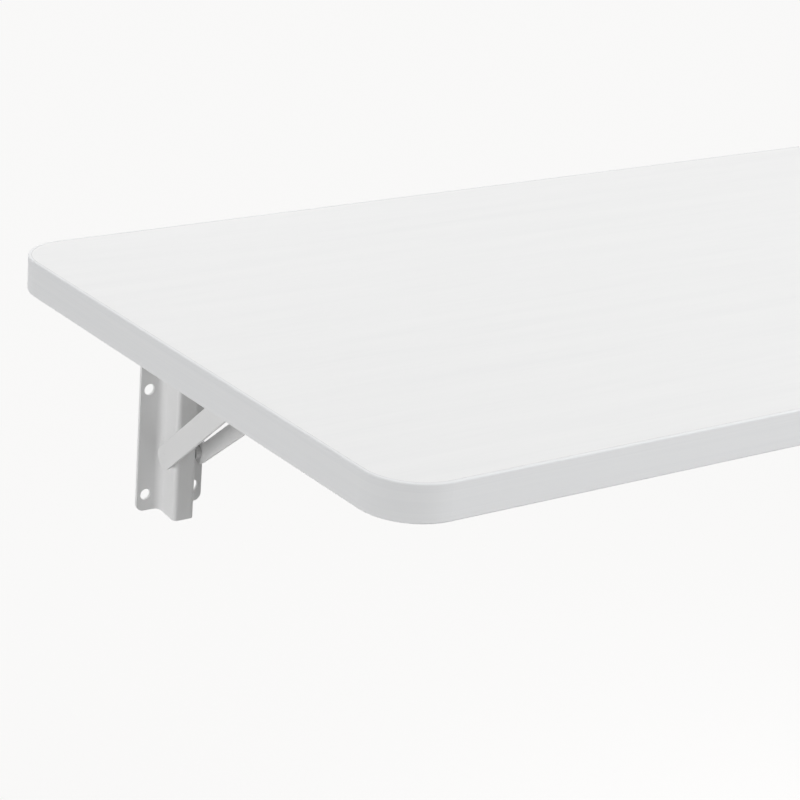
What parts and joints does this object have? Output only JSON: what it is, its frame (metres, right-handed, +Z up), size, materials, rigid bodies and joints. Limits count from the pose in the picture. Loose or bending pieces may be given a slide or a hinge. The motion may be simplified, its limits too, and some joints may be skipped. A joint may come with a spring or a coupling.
{
  "type": "floating desk",
  "caption": "Wall-mounted floating desk: a white laminated top with rounded corners on folding steel brackets, whose braces swing down so that the top folds flat to the wall.",
  "frame": {"origin": "on the wall plane, at mid length, level with the top face of the open desk", "axes": "+X along the desk to the right, -Y out from the wall, +Z up"},
  "size_m": [1, 0.401, 0.189],
  "materials": {
    "white_woodgrain": "satin melamine with a pale wood grain",
    "white_edge": "satin edge band with a pale wood grain",
    "white_backing": "matte backing sheet",
    "board_core": "raw particle board",
    "white_steel": "satin white powder coat",
    "pin_steel": "satin white paint over steel",
    "spring_steel": "bare spring steel",
    "zinc_screw": "zinc plate",
    "grey_nylon": "moulded nylon"
  },
  "bodies": {
    "wall_rails": {"left_wall_rail": "white_steel", "left_hinge_spacers": "grey_nylon", "left_pivot_spacers": "grey_nylon", "right_wall_rail": "white_steel", "right_hinge_spacers": "grey_nylon", "right_pivot_spacers": "grey_nylon"},
    "top": {"tabletop_core": "board_core", "top_laminate": "white_woodgrain", "bottom_laminate": "white_backing", "edge_band": "white_edge", "left_arm": "white_steel", "left_arm_plate": "white_steel", "left_hinge_pin": "pin_steel", "left_arm_screws": "zinc_screw", "left_catch_spring": "spring_steel", "left_catch_screw": "zinc_screw", "right_arm": "white_steel", "right_arm_plate": "white_steel", "right_hinge_pin": "pin_steel", "right_arm_screws": "zinc_screw", "right_catch_spring": "spring_steel", "right_catch_screw": "zinc_screw"},
    "left_brace": {"left_brace_plain_leg": "white_steel", "left_brace_relieved_leg": "white_steel", "left_pivot_pin": "pin_steel", "left_guide_pin": "pin_steel"},
    "right_brace": {"right_brace_plain_leg": "white_steel", "right_brace_relieved_leg": "white_steel", "right_pivot_pin": "pin_steel", "right_guide_pin": "pin_steel"}
  },
  "joints": [
    {"name": "top_fold", "type": "hinge", "parent": "wall_rails", "child": "top", "pos_m": [0, -0.016, -0.048], "axis": [1, 0, 0], "range_deg": [0, 90], "deforming": ["left_catch_spring", "right_catch_spring"]},
    {"name": "left_brace_swing", "type": "hinge", "parent": "wall_rails", "child": "left_brace", "pos_m": [-0.3842, -0.016, -0.1463], "axis": [1, 0, 0], "range_deg": [0, 126]},
    {"name": "right_brace_swing", "type": "hinge", "parent": "wall_rails", "child": "right_brace", "pos_m": [0.3842, -0.016, -0.1463], "axis": [1, 0, 0], "range_deg": [0, 126]}
  ],
  "couplings": [
    {"joint": "left_brace_swing", "follows": "top_fold", "ratio": 1.4},
    {"joint": "right_brace_swing", "follows": "top_fold", "ratio": 1.4}
  ]
}
